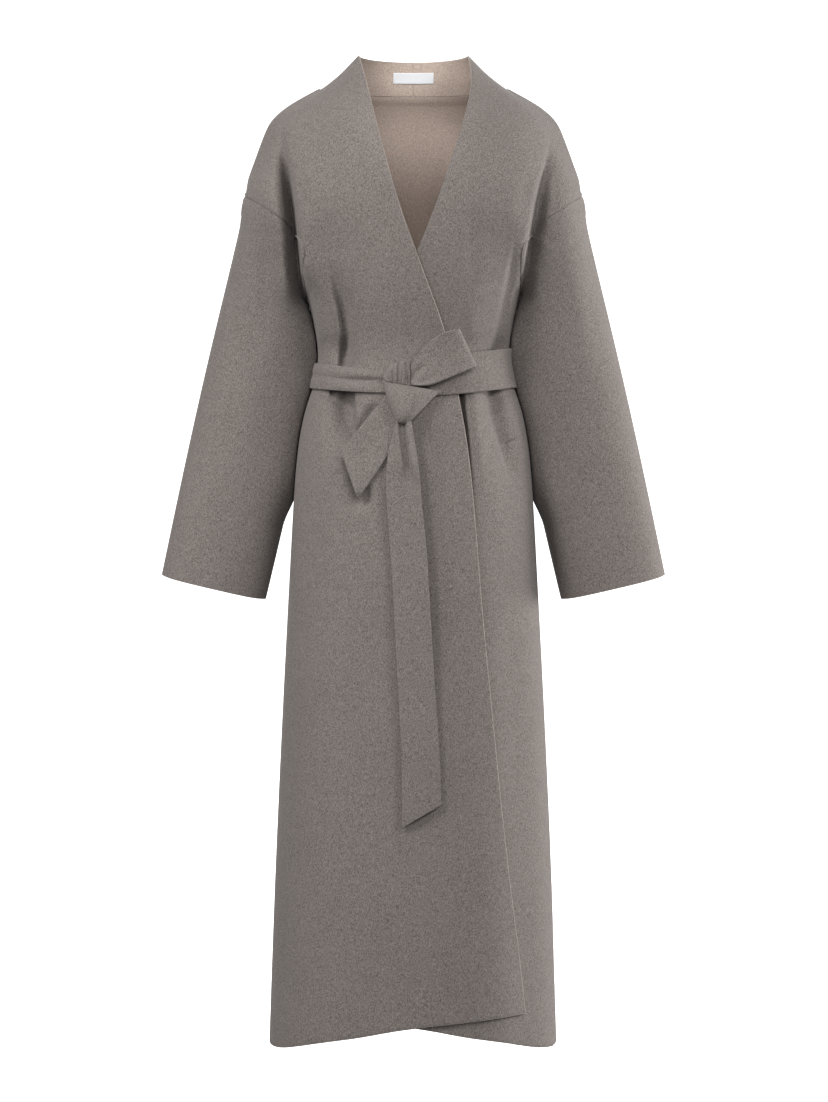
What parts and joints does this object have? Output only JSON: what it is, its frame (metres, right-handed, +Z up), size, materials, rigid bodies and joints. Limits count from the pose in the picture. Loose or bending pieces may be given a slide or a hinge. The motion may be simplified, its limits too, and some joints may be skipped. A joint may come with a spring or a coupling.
{
  "type": "wrap coat",
  "caption": "Long wool wrap coat, hollow as if worn, with a grown-on stand collar, wide dropped sleeves and a tied self belt.",
  "frame": {"origin": "inside the coat between its shoulders, where the wearer's shoulders carry it, 1.270 m above the level of the hem", "axes": "+Z up along the coat, -Y the way its front faces, +X to the wearer's left"},
  "size_m": [0.6884, 0.3088, 1.3303],
  "materials": {
    "wool": "matte double-faced wool, grey-taupe melange with a short nap, beige on its inner face",
    "label": "plain white woven tape"
  },
  "bodies": {
    "root": {"back": "wool", "front_left": "wool", "front_right": "wool", "sleeve_left": "wool", "sleeve_right": "wool", "belt_waist": "wool", "belt_gather": "wool", "belt_knot": "wool", "belt_loop": "wool", "belt_tail_short": "wool", "belt_tail_long": "wool", "neck_label": "label"}
  },
  "joints": []
}
